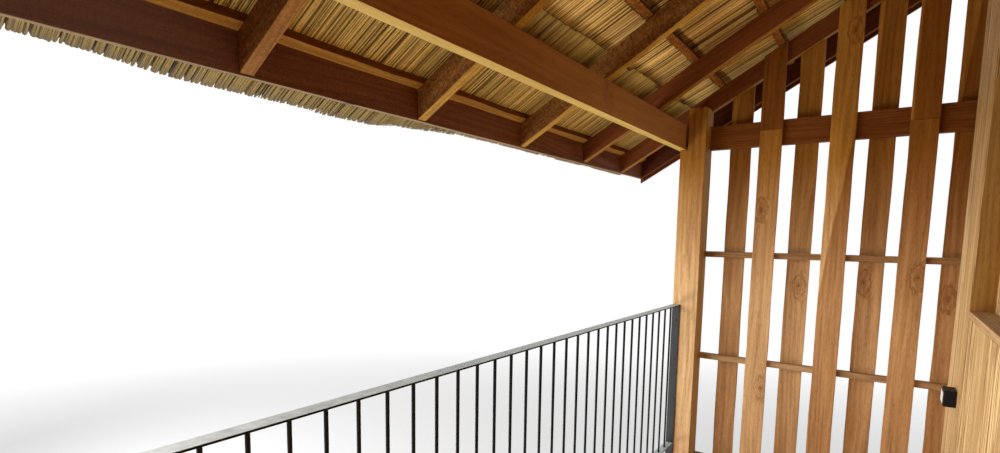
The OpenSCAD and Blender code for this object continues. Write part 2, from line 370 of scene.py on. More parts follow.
def knot_distance(tree, place, spots):
    """Distance to the nearest of the placed knots, which are longer than wide."""
    nearest = FAR_FROM_KNOT
    for spot in spots:
        flat = vector_of(tree, "MULTIPLY", place, KNOT_LENGTH)
        reach = put(tree, "ShaderNodeVectorMath", {0: flat, 1: Vector(spot) * KNOT_LENGTH},
                    operation="DISTANCE")
        nearest = reckon(tree, "MINIMUM", nearest, reach.outputs["Value"])
    return nearest


def timber(name, along, light, dark, rings=20.0, ring_strength=0.35, knots=1.0, sawn=0.0,
           saw_scale=105.0, bump=0.25, gloss=0.1, shelter_and_shade=0.0, end_light=None, placed=(), fine=1.0):
    """A finish; the shelter weight deepens it under the roof, as sheltered oil and as painted
    shade, and the end setting (x from, x to, share, colour) lays painted light on one end.
    """
    material, tree, place = new_material(name)
    turned = put(tree, "ShaderNodeMapping",
                 {"Vector": place, "Rotation": ALONG[along], "Scale": (fine, fine, 1)})
    grain = put(tree, "ShaderNodeGroup", {}, node_tree=grain_group)
    feed(tree, grain, {
        "Vector": turned.outputs[0], "Board": attribute(tree, "board"), "Light": (*light, 1),
        "Dark": (*dark, 1), "Ring Scale": rings, "Ring Strength": ring_strength,
        "Knots": knots, "Sawn": sawn, "Saw Scale": saw_scale, "Tone": attribute(tree, "tone"),
        "Sapwood": attribute(tree, "sapwood"), "Placed Knot": knot_distance(tree, place, placed),
    })
    colour = grain.outputs["Color"]
    # Darker with height under the roof: partly the deeper oil of sheltered wood, partly painted shade of
    # the roof.
    if shelter_and_shade:
        under_roof_shade = share_of(tree, number_of(tree, place, 2), SHELTER_SHADE_FROM, SHELTER_SHADE_TO, 0.0, shelter_and_shade)
        colour = tinted(tree, under_roof_shade, colour, SHELTER_AND_SHADE_TINT)
    # Painted light at one end of a board: a grey sky reflection on the fascia, a lit end on the beam face.
    if end_light:
        start, end, share, pale = end_light
        blended = share_of(tree, number_of(tree, place, 0), start, end, 0.0, share)
        colour = mixed(tree, blended, colour, (*pale, 1))
    end_material(tree, {"Base Color": colour, "Roughness": grain.outputs["Roughness"],
                        "Specular IOR Level": gloss}, grain.outputs["Height"], bump, 0.0015)
    return material


print("grain runs along", ", ".join(ALONG))

# %% [markdown]
# Each finish has a light and a dark colour, as linear red, green and blue. Finishes that
# lie close together could share one material. They are kept apart because a planed
# underside, a sawn side and an oiled face of the same timber catch the light differently.

# %% Colours
TEAK = ((0.72, 0.440, 0.208), (0.37, 0.192, 0.078))
RAIL_TEAK = ((0.42, 0.24, 0.110), (0.23, 0.12, 0.050))
RED_TEAK = ((0.24, 0.078, 0.012), (0.12, 0.031, 0.005))
STAIN = ((0.25, 0.085, 0.024), (0.12, 0.036, 0.010))
RED_STAIN = ((0.34, 0.118, 0.026), (0.19, 0.056, 0.011))
ROUGH = ((0.44, 0.210, 0.058), (0.21, 0.088, 0.023))
BEAM = ((0.325, 0.122, 0.027), (0.195, 0.066, 0.0135))
# The next six colours are underside finishes: lighter partly as raw sawn wood, partly as painted light from
# below.
SAWN_LIT = ((0.66, 0.350, 0.072), (0.32, 0.135, 0.022))
SAWN_RAFTER_LIT = ((0.63, 0.340, 0.044), (0.32, 0.145, 0.016))
PURLIN_EDGE_LIT = ((1.0, 0.60, 0.170), (0.62, 0.29, 0.070))
PLANED_EDGE_LIT = ((0.74, 0.430, 0.110), (0.46, 0.240, 0.055))
EDGE = ((0.24, 0.155, 0.060), (0.14, 0.085, 0.030))
PALE_LIT = ((0.49, 0.315, 0.066), (0.39, 0.235, 0.043))
STRAW_BOARD = ((0.80, 0.550, 0.255), (0.21, 0.105, 0.033))
JAMB_SHADE = ((0.46, 0.235, 0.055), (0.27, 0.120, 0.026))
SILL = ((0.52, 0.32, 0.150), (0.32, 0.175, 0.072))
# The posts' house side: a darker copy of the teak that paints the shade on that side.
POST_SHADE_SIDE = ((0.49, 0.265, 0.045), (0.26, 0.120, 0.018))
# The next two are painted light: a grey sky reflection on the far end of the fascia, and the beam face lit
# towards the post.
SKY_SHEEN = (0.55, 1.0, 0.38, (0.21, 0.17, 0.215))
LIT_END = (0.1, -1.6, 0.35, (0.62, 0.30, 0.095))
SLAT_KNOTS = [(-2.070, -0.106, 3.457), (-2.070, -0.042, 2.362), (-2.137, 0.116, 3.000),
              (-2.137, 0.440, 3.045), (-2.070, 0.681, 3.086), (-2.137, 0.816, 2.979),
              (-2.070, 0.309, 4.418)]
BEAM_KNOTS = [(-0.796, -0.552, 3.959), (-0.843, -0.552, 3.925)]
UPRIGHT = {"rings": 12, "ring_strength": 0.25}
print(len(SLAT_KNOTS) + len(BEAM_KNOTS), "placed knots")

# %% Timber materials
teak_up = timber("teak_upright", "z", *TEAK, knots=0.0, shelter_and_shade=1.0, placed=SLAT_KNOTS, **UPRIGHT)
teak_post = timber("teak_post", "z", *TEAK, knots=0.6, **UPRIGHT)
post_shade_side = timber("teak_post_shade_side", "z", *POST_SHADE_SIDE, knots=0.0, shelter_and_shade=0.4, **UPRIGHT)
teak_rail = timber("teak_rail", "y", *RAIL_TEAK)
teak_deck = timber("teak_deck", "x", *TEAK)
red_rail = timber("red_teak_rail", "y", *RED_TEAK, rings=26)
stain_x = timber("stained_beam", "x", *STAIN, sawn=0.35, gloss=0.25)
stain_y = timber("stained_joist", "y", *STAIN)
fascia_x = timber("stained_fascia", "x", *STAIN, sawn=0.6, gloss=0.25, end_light=SKY_SHEEN)
edge_x = timber("fascia_underside", "x", *EDGE)
rough_x = timber("stained_purlin", "x", *STAIN, sawn=0.5)
rough_slope = timber("rough_rafter", "slope", *ROUGH, sawn=0.85, saw_scale=72.0, bump=0.6)
smooth_slope = timber("smooth_rafter", "slope", *RED_STAIN, sawn=0.2, gloss=0.2)
sawn_lit_slope = timber("sawn_lit_rafter_underside", "slope", *SAWN_RAFTER_LIT, sawn=0.5, bump=0.5)
sawn_lit_x = timber("sawn_lit_underside", "x", *SAWN_LIT, sawn=0.9, bump=0.7)
purlin_edge = timber("purlin_underside", "x", *PURLIN_EDGE_LIT, sawn=1.0, saw_scale=62.0, bump=0.7)
planed_edge = timber("planed_purlin_underside", "x", *PLANED_EDGE_LIT, sawn=0.25, bump=0.4)
beam_face = timber("eave_beam_face", "x", *BEAM, knots=0.0, rings=8, ring_strength=0.2,
                   placed=BEAM_KNOTS, end_light=LIT_END)
pale_x = timber("pale_beam_underside", "x", *PALE_LIT, knots=0.2)
wall_up = timber("wall_boards", "z", *STRAW_BOARD, rings=18, ring_strength=1.1, shelter_and_shade=0.45, fine=2.4)
jamb_shade_up = timber("jamb_boards_shade", "z", *JAMB_SHADE)
sill_x = timber("window_sill", "x", *SILL)
print(len(bpy.data.materials), "materials so far")

# %% [markdown]
# ## From CAD solids to timber
#
# A CAD node is loose triangles with razor-sharp edges. Real timber has arrises a few
# millimetres round that catch the light, and its faces are never quite flat. The boards
# could be modelled afresh, but a copy of the node keeps the joints exact. It is merged,
# its edges are bevelled, it is cut into short lengths, and its points are moved a little
# by smooth noise. Each separate piece gets its own "board" number.


# %% Mesh helpers
def ring_of(work, points):
    return [work.verts.new(point) for point in points]


def skin(work, rings):
    """Closes a row of rings of points into a body."""
    work.faces.new(rings[0][::-1])
    work.faces.new(rings[-1])
    for a, b in zip(rings, rings[1:]):
        for i in range(len(a)):
            k = (i + 1) % len(a)
            work.faces.new([a[i], a[k], b[k], b[i]])


def plain_mesh(name, work):
    mesh = bpy.data.meshes.new(name)
    bmesh.ops.recalc_face_normals(work, faces=work.faces)
    work.to_mesh(mesh)
    work.free()
    return mesh


def whole_copy(node):
    """The node's mesh with its loose triangles merged into whole faces."""
    work = bmesh.new()
    work.from_mesh(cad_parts[node].data)
    bmesh.ops.remove_doubles(work, verts=work.verts, dist=1e-5)
    bmesh.ops.dissolve_limit(work, angle_limit=math.radians(1), verts=work.verts, edges=work.edges)
    return work


def reach_of(points):
    """Lowest and highest corner of the box round the points."""
    return [[pick(point.co[axis] for point in points) for axis in range(3)] for pick in (min, max)]


def islands(work):
    """Lists of points, one for each separate piece, in order of place."""
    left = set(work.verts)
    found = []
    while left:
        start = next(iter(left))
        piece = {start}
        edge_of = [start]
        while edge_of:
            for edge in edge_of.pop().link_edges:
                for other in edge.verts:
                    if other not in piece:
                        piece.add(other)
                        edge_of.append(other)
        left -= piece
        found.append(sorted(piece, key=lambda v: tuple(round(c, 4) for c in v.co)))
    return sorted(found, key=lambda points: tuple(round(c, 4) for c in points[0].co))


print("mesh helpers ready")


# %% Boards with a number of their own
NO_SAPWOOD = (-9.0, -9.0)


def number_boards(work, seed, tones, sapwood):
    """Gives each separate piece a board number, a tone and the metres from its sapwood's edge.

    tones and sapwood are lists in order of place; sapwood holds the share of the board's
    width that is sapwood at its foot and at its head, below zero where it has run out.
    Without a list the tone is drawn at random and there is no sapwood.
    """
    board, shade, sap = [work.verts.layers.float.new(name) for name in ("board", "tone", "sapwood")]
    draw = random.Random(seed)
    for i, piece in enumerate(islands(work)):
        number = draw.random()
        tone = tones[i % len(tones)] if tones else draw.uniform(0.9, 1.1)
        at_foot, at_head = sapwood[i % len(sapwood)] if sapwood else NO_SAPWOOD
        low, high = reach_of(piece)
        for point in piece:
            up = (point.co.z - low[2]) / (high[2] - low[2])
            edge = low[1] + (at_foot + (at_head - at_foot) * up) * (high[1] - low[1])
            point[board] = number
            point[shade] = tone
            point[sap] = point.co.y - edge


def cut_to_lengths(work, along, step):
    """Cuts the mesh across the direction along, every step metres."""
    reach = [point.co.dot(along) for point in work.verts]
    count = int((max(reach) - min(reach)) / step)
    for i in range(1, count):
        spot = along * (min(reach) + i * (max(reach) - min(reach)) / count)
        everything = list(work.verts) + list(work.edges) + list(work.faces)
        bmesh.ops.bisect_plane(work, geom=everything, plane_co=spot, plane_no=along)


def wave_faces(work, along, wave):
    """Moves each point a little across the grain, and never out of the solid's box."""
    number = work.verts.layers.float["board"]
    low, high = reach_of(work.verts)
    for point in work.verts:
        spot = point.co + Vector((11, 5, 3)) * (10 * point[number])
        push = noise.noise_vector(spot * 4.0) * wave
        moved = point.co + push - along * push.dot(along)
        point.co = [min(max(moved[k], low[k]), high[k]) for k in range(3)]


# Without a seed this noise would be another one in each run.
WAVE_SEED = 7
noise.seed_set(WAVE_SEED)
print("board helpers ready")

# %% Timber from nodes
AXIS = {"x": (1, 0, 0), "y": (0, 1, 0), "z": (0, 0, 1), "slope": (0, math.cos(PITCH), math.sin(PITCH))}
SHARP = math.radians(20)
FACES_THAT_WAY = 0.75


def finish_timber(work, name, materials, along, seed, arris=0.003, wave=0.0012, step=0.09,
                  under=None, shaded=None, tones=None, sapwood=None):
    """Bevels, cuts and waves the mesh and makes it a piece.

    Faces that look down get the material number under, lighter partly as raw sawn wood and
    partly as painted light from below; faces that look to the house get shaded, a darker
    copy that paints their shade.
    """
    along = Vector(AXIS[along]).normalized()
    sharp = [edge for edge in work.edges if edge.is_manifold and edge.calc_face_angle(0) > SHARP]
    if arris:
        bmesh.ops.bevel(work, geom=sharp, offset=arris, segments=2, profile=0.6, affect="EDGES",
                        clamp_overlap=True)
    number_boards(work, seed, tones, sapwood)
    if step:
        cut_to_lengths(work, along, step)
    wave_faces(work, along, wave)
    mesh = bpy.data.meshes.new(name)
    work.to_mesh(mesh)
    work.free()
    piece = bpy.data.objects.new(name, mesh)
    scene.collection.objects.link(piece)
    for material in materials:
        mesh.materials.append(material)
    for face in mesh.polygons:
        face.use_smooth = False
        if under is not None and face.normal.z < -FACES_THAT_WAY:
            face.material_index = under
        if shaded is not None and face.normal.y > FACES_THAT_WAY:
            face.material_index = shaded
    return piece


def settle(piece, slot, *nodes):
    """The piece rides on the one body and stands for its nodes, which are hidden; slot is not used."""
    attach(piece, "root")
    if nodes:
        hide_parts(*nodes)
    print(piece.name, len(piece.data.polygons), "faces")


def repaint(piece, old, new, chosen):
    """Faces with the material number old get the number new where the test of their centre holds."""
    for face in piece.data.polygons:
        if face.material_index == old and chosen(face.center):
            face.material_index = new


def dress(node, name, slot, along, materials, seed, **shape):
    settle(finish_timber(whole_copy(node), name, materials, along, seed, **shape), slot, node)


print("timber helpers ready")

# %% [markdown]
# ## Roof timbers
#
# The rafters and purlins are rough sawn. Their sides were stained dark red-brown and their
# undersides are lighter, partly as raw sawn wood and partly as painted light from below,
# and the rafters near the screen are planed on their sides. The eave beam is planed too;
# its underside, with painted light, is the palest strip under the roof. One material for
# all would be simpler, but these contrasts make the roof. Faces that look down get the
# second material of each piece.

# %% Roof timbers
SMOOTH_UP_TO = -1.0
FIRST_PURLIN = 0.1
ROOF_WAVE = 0.005
END_WAVE = 0.002
# Faces that look down take the second material, lighter partly as raw sawn wood and partly as painted light
# from below.
roof = {"slot": "dark_timber", "under": 1}
slope_faces = [smooth_slope, sawn_lit_slope]

dress("eave_beam", "eave_beam_timber", along="x", materials=[beam_face, pale_x], seed=1, **roof)
dress("wall_plate", "wall_plate_timber", along="x", materials=[stain_x, sawn_lit_x], seed=2, **roof)
rafters = finish_timber(whole_copy("rafters"), "rafter_timbers", [rough_slope, sawn_lit_slope, smooth_slope],
                        "slope", 3, under=1, wave=ROOF_WAVE, arris=0.004,
                        tones=[0.72, 1.12, 1.12, 0.67, 1.0])
repaint(rafters, 0, 2, lambda centre: centre.x < SMOOTH_UP_TO)
settle(rafters, "dark_timber", "rafters")
dress("end_rafters", "end_rafter_timbers", along="slope", materials=slope_faces, seed=4, wave=END_WAVE,
      tones=[0.72], **roof)
dress("fly_rafters", "fly_rafter_timbers", along="slope", materials=slope_faces, seed=5, wave=END_WAVE,
      tones=[0.32], **roof)
dress("barge_boards", "barge_board_timbers", along="slope", materials=slope_faces, seed=6,
      tones=[0.32], **roof)
dress("fascia_board", "fascia_timber", along="x", materials=[fascia_x, edge_x], seed=7, tones=[1.0], **roof)
low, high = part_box("purlins")
purlins = finish_timber(whole_copy("purlins"), "purlin_timbers", [rough_x, purlin_edge, planed_edge],
                        "x", 8, under=1, wave=ROOF_WAVE,
                        tones=[1.0, 1.0, 0.58, 0.55, 0.6, 0.55, 0.6, 0.55])
repaint(purlins, 1, 2, lambda centre: centre.y < low.y + FIRST_PURLIN)
settle(purlins, "dark_timber", "purlins")

# %% [markdown]
# ## Posts, screen and floor timbers
#
# The posts, slats and rails are planed and oiled teak. Two of the front slats are made of
# two lengths that meet on the top rail, as they do on the real screen. A dark line could
# be painted there, but a real cut has two rounded edges, so those two slats are sawn
# through before the edges are rounded. Each slat has its own tone and sapwood edge.


# %% Two-length slats
def stretch_copy(work, foot, head, bottom, top):
    """A copy of an upright piece between two heights; None keeps its own end."""
    middle = sum((f.co.xy for f in foot), Vector((0, 0))) / len(foot)
    around = sorted(range(len(foot)), key=lambda i: math.atan2(*(foot[i].co.xy - middle).yx))
    low = ring_of(work, [(*foot[i].co.xy, foot[i].co.z if bottom is None else bottom) for i in around])
    high = ring_of(work, [(*head[i].co.xy, head[i].co.z if top is None else top) for i in around])
    skin(work, [low, high])


def saw_through(work, joints, gap=0.0008):
    """Cuts pieces into a lower and an upper length; joints maps place in the row to height."""
    rows = list(enumerate(islands(work)))
    for row, points in rows:
        if row not in joints:
            continue
        height = joints[row]
        low = min(point.co.z for point in points)
        foot = [point for point in points if point.co.z < low + 1e-4]
        rest = [point for point in points if point not in foot]
        head = [min(rest, key=lambda h: (h.co.xy - f.co.xy).length) for f in foot]
        stretch_copy(work, foot, head, None, height - gap)
        stretch_copy(work, foot, head, height + gap, None)
        bmesh.ops.delete(work, geom=points, context="VERTS")
    return work


low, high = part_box("screen_top_rail")
FIRST_JOINT = high.z - 0.056
THIRD_JOINT = (low.z + high.z) / 2
FRONT_SAPWOOD = [(-1.0, -0.1), (-1.0, -1.0), (-0.9, 1.6), (-1.0, -1.0), (0.16, 0.14)]
BACK_SAPWOOD = [(-2.0, 0.55), (-0.8, 0.16), (-0.5, 0.25), (-1.0, 0.62)]
slats = saw_through(whole_copy("front_slats"), {0: FIRST_JOINT, 2: THIRD_JOINT})
settle(finish_timber(slats, "front_slat_timbers", [teak_up], "z", 9, wave=0.003,
                     tones=[1.07, 0.71, 0.82, 0.88, 0.73], sapwood=FRONT_SAPWOOD), "teak", "front_slats")
dress("back_slats", "back_slat_timbers", "teak", "z", [teak_up], 10, wave=0.003,
      tones=[0.90, 1.05, 0.97, 0.90], sapwood=BACK_SAPWOOD)

# %% Posts, rails and floor
# Faces of the posts that look to the house get the darker copy, which paints their shade.
post_faces = [teak_up, post_shade_side]
dark_faces = [stain_x, sawn_lit_x]
dress("corner_post", "corner_post_timber", "teak", "z", post_faces, 11, arris=0.004, tones=[1.16], shaded=1)
dress("far_post", "far_post_timber", "teak", "z", post_faces, 12, arris=0.004, shaded=1)
dress("screen_top_rail", "screen_top_rail_timber", "teak", "y", [red_rail], 13)
dress("screen_mid_rail", "screen_mid_rail_timber", "teak", "y", [teak_rail], 14, tones=[0.88])
dress("screen_low_rail", "screen_low_rail_timber", "teak", "y", [teak_rail], 15, tones=[1.19])
dress("screen_foot_rail", "screen_foot_rail_timber", "teak", "y", [teak_rail], 16)
dress("mid_stilt", "mid_stilt_timber", "teak", "z", [teak_post], 17, arris=0.004)
dress("rear_stilts", "rear_stilt_timbers", "teak", "z", [teak_post], 18, arris=0.004)
dress("floor_bearers", "floor_bearer_timbers", "dark_timber", "x", dark_faces, 19, under=1)
dress("rim_joist", "rim_joist_timber", "dark_timber", "x", dark_faces, 20, under=1)
dress("joists", "joist_timbers", "dark_timber", "y", [stain_y], 21)
dress("wall_corners", "wall_corner_timbers", "wall_boards", "z", [teak_up], 22)
dress("window_frame", "window_frame_timber", "wall_boards", "z", [wall_up], 23, step=0)
dress("window_sill", "window_sill_timber", "dark_timber", "x", [sill_x], 24)

# %% [markdown]
# ## Wall and deck boards
#
# The house wall is upright boards with a small groove at each joint. The deck is planks
# laid along the veranda with open joints, so that rain runs off. Both could be one slab
# with painted lines, but real edges catch the light. Each board is drawn as an outline
# with its corners taken off and pushed along its length.


# %% Board shapes
def board(work, outline, direction, start, end):
    """A board with the outline as its cross-section, from start to end along x or z."""
    skin(work, [ring_of(work, [(along, a, b) if direction == "x" else (a, b, along) for a, b in outline])
                for along in (start, end)])


def arc(a, b, radius, turn):
    steps = [math.radians(turn + 22.5 * i) for i in range(5)]
    return [(a + radius * math.cos(s), b + radius * math.sin(s)) for s in steps]


def chamfered(a0, a1, b0, b1, cut, round_first=0.0, round_last=0.0):
    """Rectangle with its corners cut; the two low-b corners can be rounded instead."""
    first = [(a0, b0 + cut), (a0 + cut, b0)]
    last = [(a1 - cut, b0), (a1, b0 + cut)]
    if round_first:
        first = arc(a0 + round_first, b0 + round_first, round_first, 180)
    if round_last:
        last = arc(a1 - round_last, b0 + round_last, round_last, 270)
    return first + last + [(a1, b1 - cut), (a1 - cut, b1), (a0 + cut, b1), (a0, b1 - cut)]


def board_piece(work, name, materials, along, seed, **shape):
    bmesh.ops.recalc_face_normals(work, faces=work.faces)
    return finish_timber(work, name, materials, along, seed, arris=0, **shape)


print("board shapes ready")

# %% Wall boards
WALL_ROUND = 0.012
WALL_GROOVE = 0.003
WALL_SEAMS = [0.0, 0.130, 0.240, 0.402]
OVER_WINDOW = 8
BEYOND_WINDOW = 15

low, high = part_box("wall")
sill_low, sill_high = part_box("window_sill")
frame_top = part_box("window_frame")[1].z
left_jamb, right_jamb = sill_low.x, sill_high.x
seams = [low.x + seam for seam in WALL_SEAMS]
seams += [left_jamb + i * (right_jamb - left_jamb) / OVER_WINDOW for i in range(OVER_WINDOW)]
seams += [right_jamb + i * (high.x - right_jamb) / BEYOND_WINDOW for i in range(BEYOND_WINDOW + 1)]
boards = bmesh.new()
for left, right in zip(seams, seams[1:]):
    shape = chamfered(left, right, low.y, high.y, WALL_GROOVE, WALL_ROUND if left == low.x else 0,
                      WALL_ROUND if right == seams[-1] else 0)
    at_window = left >= left_jamb - 1e-4 and right <= right_jamb + 1e-4
    for bottom, top in ((low.z, sill_low.z), (frame_top, high.z)) if at_window else ((low.z, high.z),):
        board(boards, shape, "z", bottom, top)
wall_piece = board_piece(boards, "wall_board_timbers", [wall_up, jamb_shade_up], "z", 30, wave=0.0006, step=0.25,
                         tones=[1.02, 0.98, 0.93, 0.90, 0.97, 0.92, 1.0])
# The side faces of the boards in the window opening get the darker jamb finish, which paints the shade
# there.
for face in wall_piece.data.polygons:
    at_jamb = min(abs(face.center.x - side) for side in (left_jamb, right_jamb)) < 0.003
    if at_jamb and abs(face.normal.x) > 0.9 and sill_low.z < face.center.z < frame_top:
        face.material_index = 1
settle(wall_piece, "wall_boards", "wall")

# %% Deck boards
DECK_GAP = 0.005
DECK_GROOVE = 0.002
DECK_FRONT = 0.155
DECK_BOARDS = 10

low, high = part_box("deck")
post_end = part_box("corner_post")[1].x
width = (high.y - low.y - DECK_FRONT) / DECK_BOARDS
lines = [low.y] + [low.y + DECK_FRONT + i * width for i in range(DECK_BOARDS + 1)]
boards = bmesh.new()
for number, (front, back) in enumerate(zip(lines, lines[1:])):
    start, end = (post_end, -post_end) if number == 0 else (low.x, high.x)
    gap_front = 0 if number == 0 else DECK_GAP / 2
    gap_back = 0 if number == DECK_BOARDS else DECK_GAP / 2
    shape = chamfered(front + gap_front, back - gap_back, low.z, high.z, DECK_GROOVE)
    board(boards, shape, "x", start, end)
settle(board_piece(boards, "deck_board_timbers", [teak_deck], "x", 31, wave=0.0008), "teak", "deck")

# %% [markdown]
# ## Geometry Nodes trees
#
# Screws, bars and leaf strips are one shape set down many times. A loop could copy it, but
# a node tree keeps the rule in sight: it makes points, puts the shape on each with its own
# turn and size, and turns the lot into one mesh. Inputs with names keep each number in
# this script where it can be read.


# %% Tree helpers
def new_tree(name, inputs):
    """Geometry tree with named inputs; returns the tree and its inputs."""
    tree = bpy.data.node_groups.new(name, "GeometryNodeTree")
    tree.interface.new_socket("Geometry", in_out="INPUT", socket_type="NodeSocketGeometry")
    for label, kind in inputs:
        tree.interface.new_socket(label, in_out="INPUT", socket_type="NodeSocket" + kind)
    tree.interface.new_socket("Geometry", in_out="OUTPUT", socket_type="NodeSocketGeometry")
    return tree, tree.nodes.new("NodeGroupInput").outputs


def end_tree(tree, given, added):
    """Joins what was added to the start mesh, makes it real faces and gives it the material."""
    both = put(tree, "GeometryNodeJoinGeometry")
    tree.links.new(given["Geometry"], both.inputs[0])
    tree.links.new(added, both.inputs[0])
    real = put(tree, "GeometryNodeRealizeInstances", {"Geometry": both.outputs[0]})
    painted = put(tree, "GeometryNodeSetMaterial",
                  {"Geometry": real.outputs[0], "Material": given["Material"]})
    put(tree, "NodeGroupOutput", {0: painted.outputs[0]})


def grow(name, tree, values, start=None):
    """Runs the tree once on the start mesh and keeps the result as a plain object."""
    piece = bpy.data.objects.new(name, start or bpy.data.meshes.new(name + "_start"))
    scene.collection.objects.link(piece)
    step = piece.modifiers.new(name, "NODES")
    step.node_group = tree
    for socket in tree.interface.items_tree:
        if socket.in_out == "INPUT" and socket.name in values:
            step[socket.identifier] = values[socket.name]
    graph = bpy.context.evaluated_depsgraph_get()
    mesh = bpy.data.meshes.new_from_object(piece.evaluated_get(graph), preserve_all_data_layers=True,
                                           depsgraph=graph)
    piece.modifiers.remove(step)
    piece.data = mesh
    return piece


def loose_shape(name, work):
    """An object that only serves as a shape for a tree; it is taken away afterwards."""
    shape = bpy.data.objects.new(name, plain_mesh(name, work))
    scene.collection.objects.link(shape)
    return shape


print("tree helpers ready")

# %% [markdown]
# ## Leaf thatch
#
# Each course is a bundle of dry leaf strips one to two centimetres wide, laid side by side
# in several layers and tied in units about twenty centimetres wide. One strip could be
# painted on a slab, but the gaps and the ragged butts would be missing. So each strip is
# a thin body, and its colour comes from its own random number, "strand".
#
# A leaf is folded lengthwise; its two or three flat tones are painted shading of the folds,
# with painted shade in the crease between. The rims of the strips get painted shade, and some
# strips are painted dark as if sunk in shade between the others. The heads are greenish, the
# tips and the side that faces the sky are grey, and the fringe is greyed by weather and
# darkened with painted shade. The corner above each purlin gets painted shade.

# %% Leaf inputs
leaf_group, given, result = new_group(
    "leaf thatch",
    [
        ("Vector", "Vector", None),
        ("Strand", "Float", 0.5),
        ("Share", "Float", 0.5),
        ("Across", "Float", 1.0),
        ("Straw", "Color", (0.6, 0.4, 0.15, 1)),
        ("Shade", "Color", (0.3, 0.18, 0.06, 1)),
        ("Green", "Color", (0.3, 0.28, 0.09, 1)),
        ("Green Share", "Float", 0.3),
        ("Green From", "Float", 2.0),
        ("Tip Share", "Float", 0.03),
        ("Weather And Shade", "Float", 0.0),
        ("Purlin Share", "Float", 9.0),
        ("Sunken Shade Share", "Float", 0.0),
    ],
    [("Color", "Color"), ("Height", "Float")],
)
SPECK_TINT = (0.25, 0.18, 0.12)
CREASE_SHADE_TINT = (0.20, 0.11, 0.06)
SUNKEN_SHADE_TINT = (0.20, 0.12, 0.06)
HEAD_TINT = (0.50, 0.38, 0.23)
RIM_SHADE_TINT = (0.10, 0.055, 0.025)
PURLIN_SHADE_TINT = (0.36, 0.23, 0.12)
WEATHER_AND_SHADE_TINT = (0.38, 0.36, 0.31)
TIP_GREY = (0.16, 0.13, 0.10, 1)
CORE_SHADE_BROWN = (0.045, 0.028, 0.014, 1)
DARKEST_GREEN = (0.35, 0.35, 0.35, 1)
WHITE = (1, 1, 1, 1)
print("leaf inputs:", len(given) - 1)


# %% Leaf group
def leaf_tone(tree, place, own_random, bands, lines):
    """Value from the shaded to the straw colour with painted shading of the folds, and the
    painted shade of the creases between them.
    """
    folds = reckon(tree, "MULTIPLY_ADD", number_of(tree, place, 0), 120.0, times(tree, bands, 1.5))
    # Each fold cell gets its own tone: painted shading of a folded leaf.
    fold_shading = number_of(tree, cells_along(tree, folds).outputs["Color"], 0)
    fold_edge = cells_along(tree, folds, "DISTANCE_TO_EDGE").outputs["Distance"]
    value = swing(tree, 0.98, lines, 1.3)
    value = swing(tree, value, fold_shading, 0.5)
    value = swing(tree, value, bands, 0.8)
    value = swing(tree, value, own_random(5.77), 0.5, clamp=True)
    return value, share_of(tree, fold_edge, 0.06, 0.14, 0.9, 0.0)


def leaf_green(tree, given, value, own_random, bands):
    """How green the strip is here, and how near its head; some strips are green all along."""
    which = swing(tree, own_random(17.31), bands, 1.2)
    start = reckon(tree, "SUBTRACT", given["Green Share"], 0.15)
    end = reckon(tree, "ADD", given["Green Share"], 0.15)
    green = share_of(tree, which, start, end, 1.0, 0.0)
    near_head = share_of(tree, given["Share"], given["Green From"],
                         reckon(tree, "ADD", given["Green From"], 0.08))
    green = reckon(tree, "MAXIMUM", green, times(tree, near_head, 0.5))
    tone = mixed(tree, 1.0, given["Green"], mixed(tree, value, DARKEST_GREEN, WHITE), "MULTIPLY")
    return times(tree, green, 0.85), tone, near_head


def fill_leaf_group(tree, given, result):
    strand = given["Strand"]

    def own_random(factor):
        return reckon(tree, "FRACT", times(tree, strand, factor))

    away = put(tree, "ShaderNodeCombineXYZ", {0: times(tree, strand, 37.0), 1: times(tree, strand, 11.0)})
    place = vector_of(tree, "ADD", given["Vector"], away.outputs[0])
    lines = cloud(tree, stretched(tree, place, 1, 1, 0.015), 210.0, 4.0, 0.75)
    bands = cloud(tree, stretched(tree, place, 1, 1, 0.25), 9.0, 4.0)
    specks = cloud(tree, stretched(tree, place, 1, 1, 0.3), 150.0)
    value, crease_shade = leaf_tone(tree, place, own_random, bands, lines)
    green, green_tone, near_head = leaf_green(tree, given, value, own_random, bands)
    # Some strips at random are painted dark: painted shade of strips sunk between the others.
    sunken_shade = reckon(tree, "LESS_THAN", own_random(29.7), given["Sunken Shade Share"])
    # The rims of each strip get painted shade, for the dark gaps between strips.
    rim_shade_width = reckon(tree, "MULTIPLY_ADD", reckon(tree, "POWER", own_random(7.13), 3.0), 0.85, 0.20)
    from_purlin = reckon(tree, "ABSOLUTE", reckon(tree, "SUBTRACT", given["Share"], given["Purlin Share"]))

    colour = mixed(tree, value, given["Shade"], given["Straw"])
    colour = mixed(tree, green, colour, green_tone)
    for share, tint in (
        (share_of(tree, specks, 0.60, 0.72, 0.0, 0.45), SPECK_TINT),
        (crease_shade, CREASE_SHADE_TINT),
        (times(tree, sunken_shade, 0.85), SUNKEN_SHADE_TINT),
        (times(tree, near_head, 0.9), HEAD_TINT),
        (share_of(tree, given["Across"], 0.0, rim_shade_width, 1.0, 0.0), RIM_SHADE_TINT),
        # painted shade in the corner just above each purlin
        (share_of(tree, from_purlin, 0.032, 0.018), PURLIN_SHADE_TINT),
        # weathering on faces to the sky, and weathering with painted shade on the fringe
        (given["Weather And Shade"], WEATHER_AND_SHADE_TINT),
    ):
        colour = tinted(tree, share, colour, tint)
    tip = share_of(tree, given["Share"], given["Tip Share"], 0.0, 0.0, 0.6)
    colour = mixed(tree, tip, colour, TIP_GREY)
    # The core has no strand, so it is near black: painted shade of the deep thatch.
    colour = mixed(tree, reckon(tree, "LESS_THAN", strand, 0.01), colour, CORE_SHADE_BROWN)
    feed(tree, result, {"Color": colour, "Height": lines})


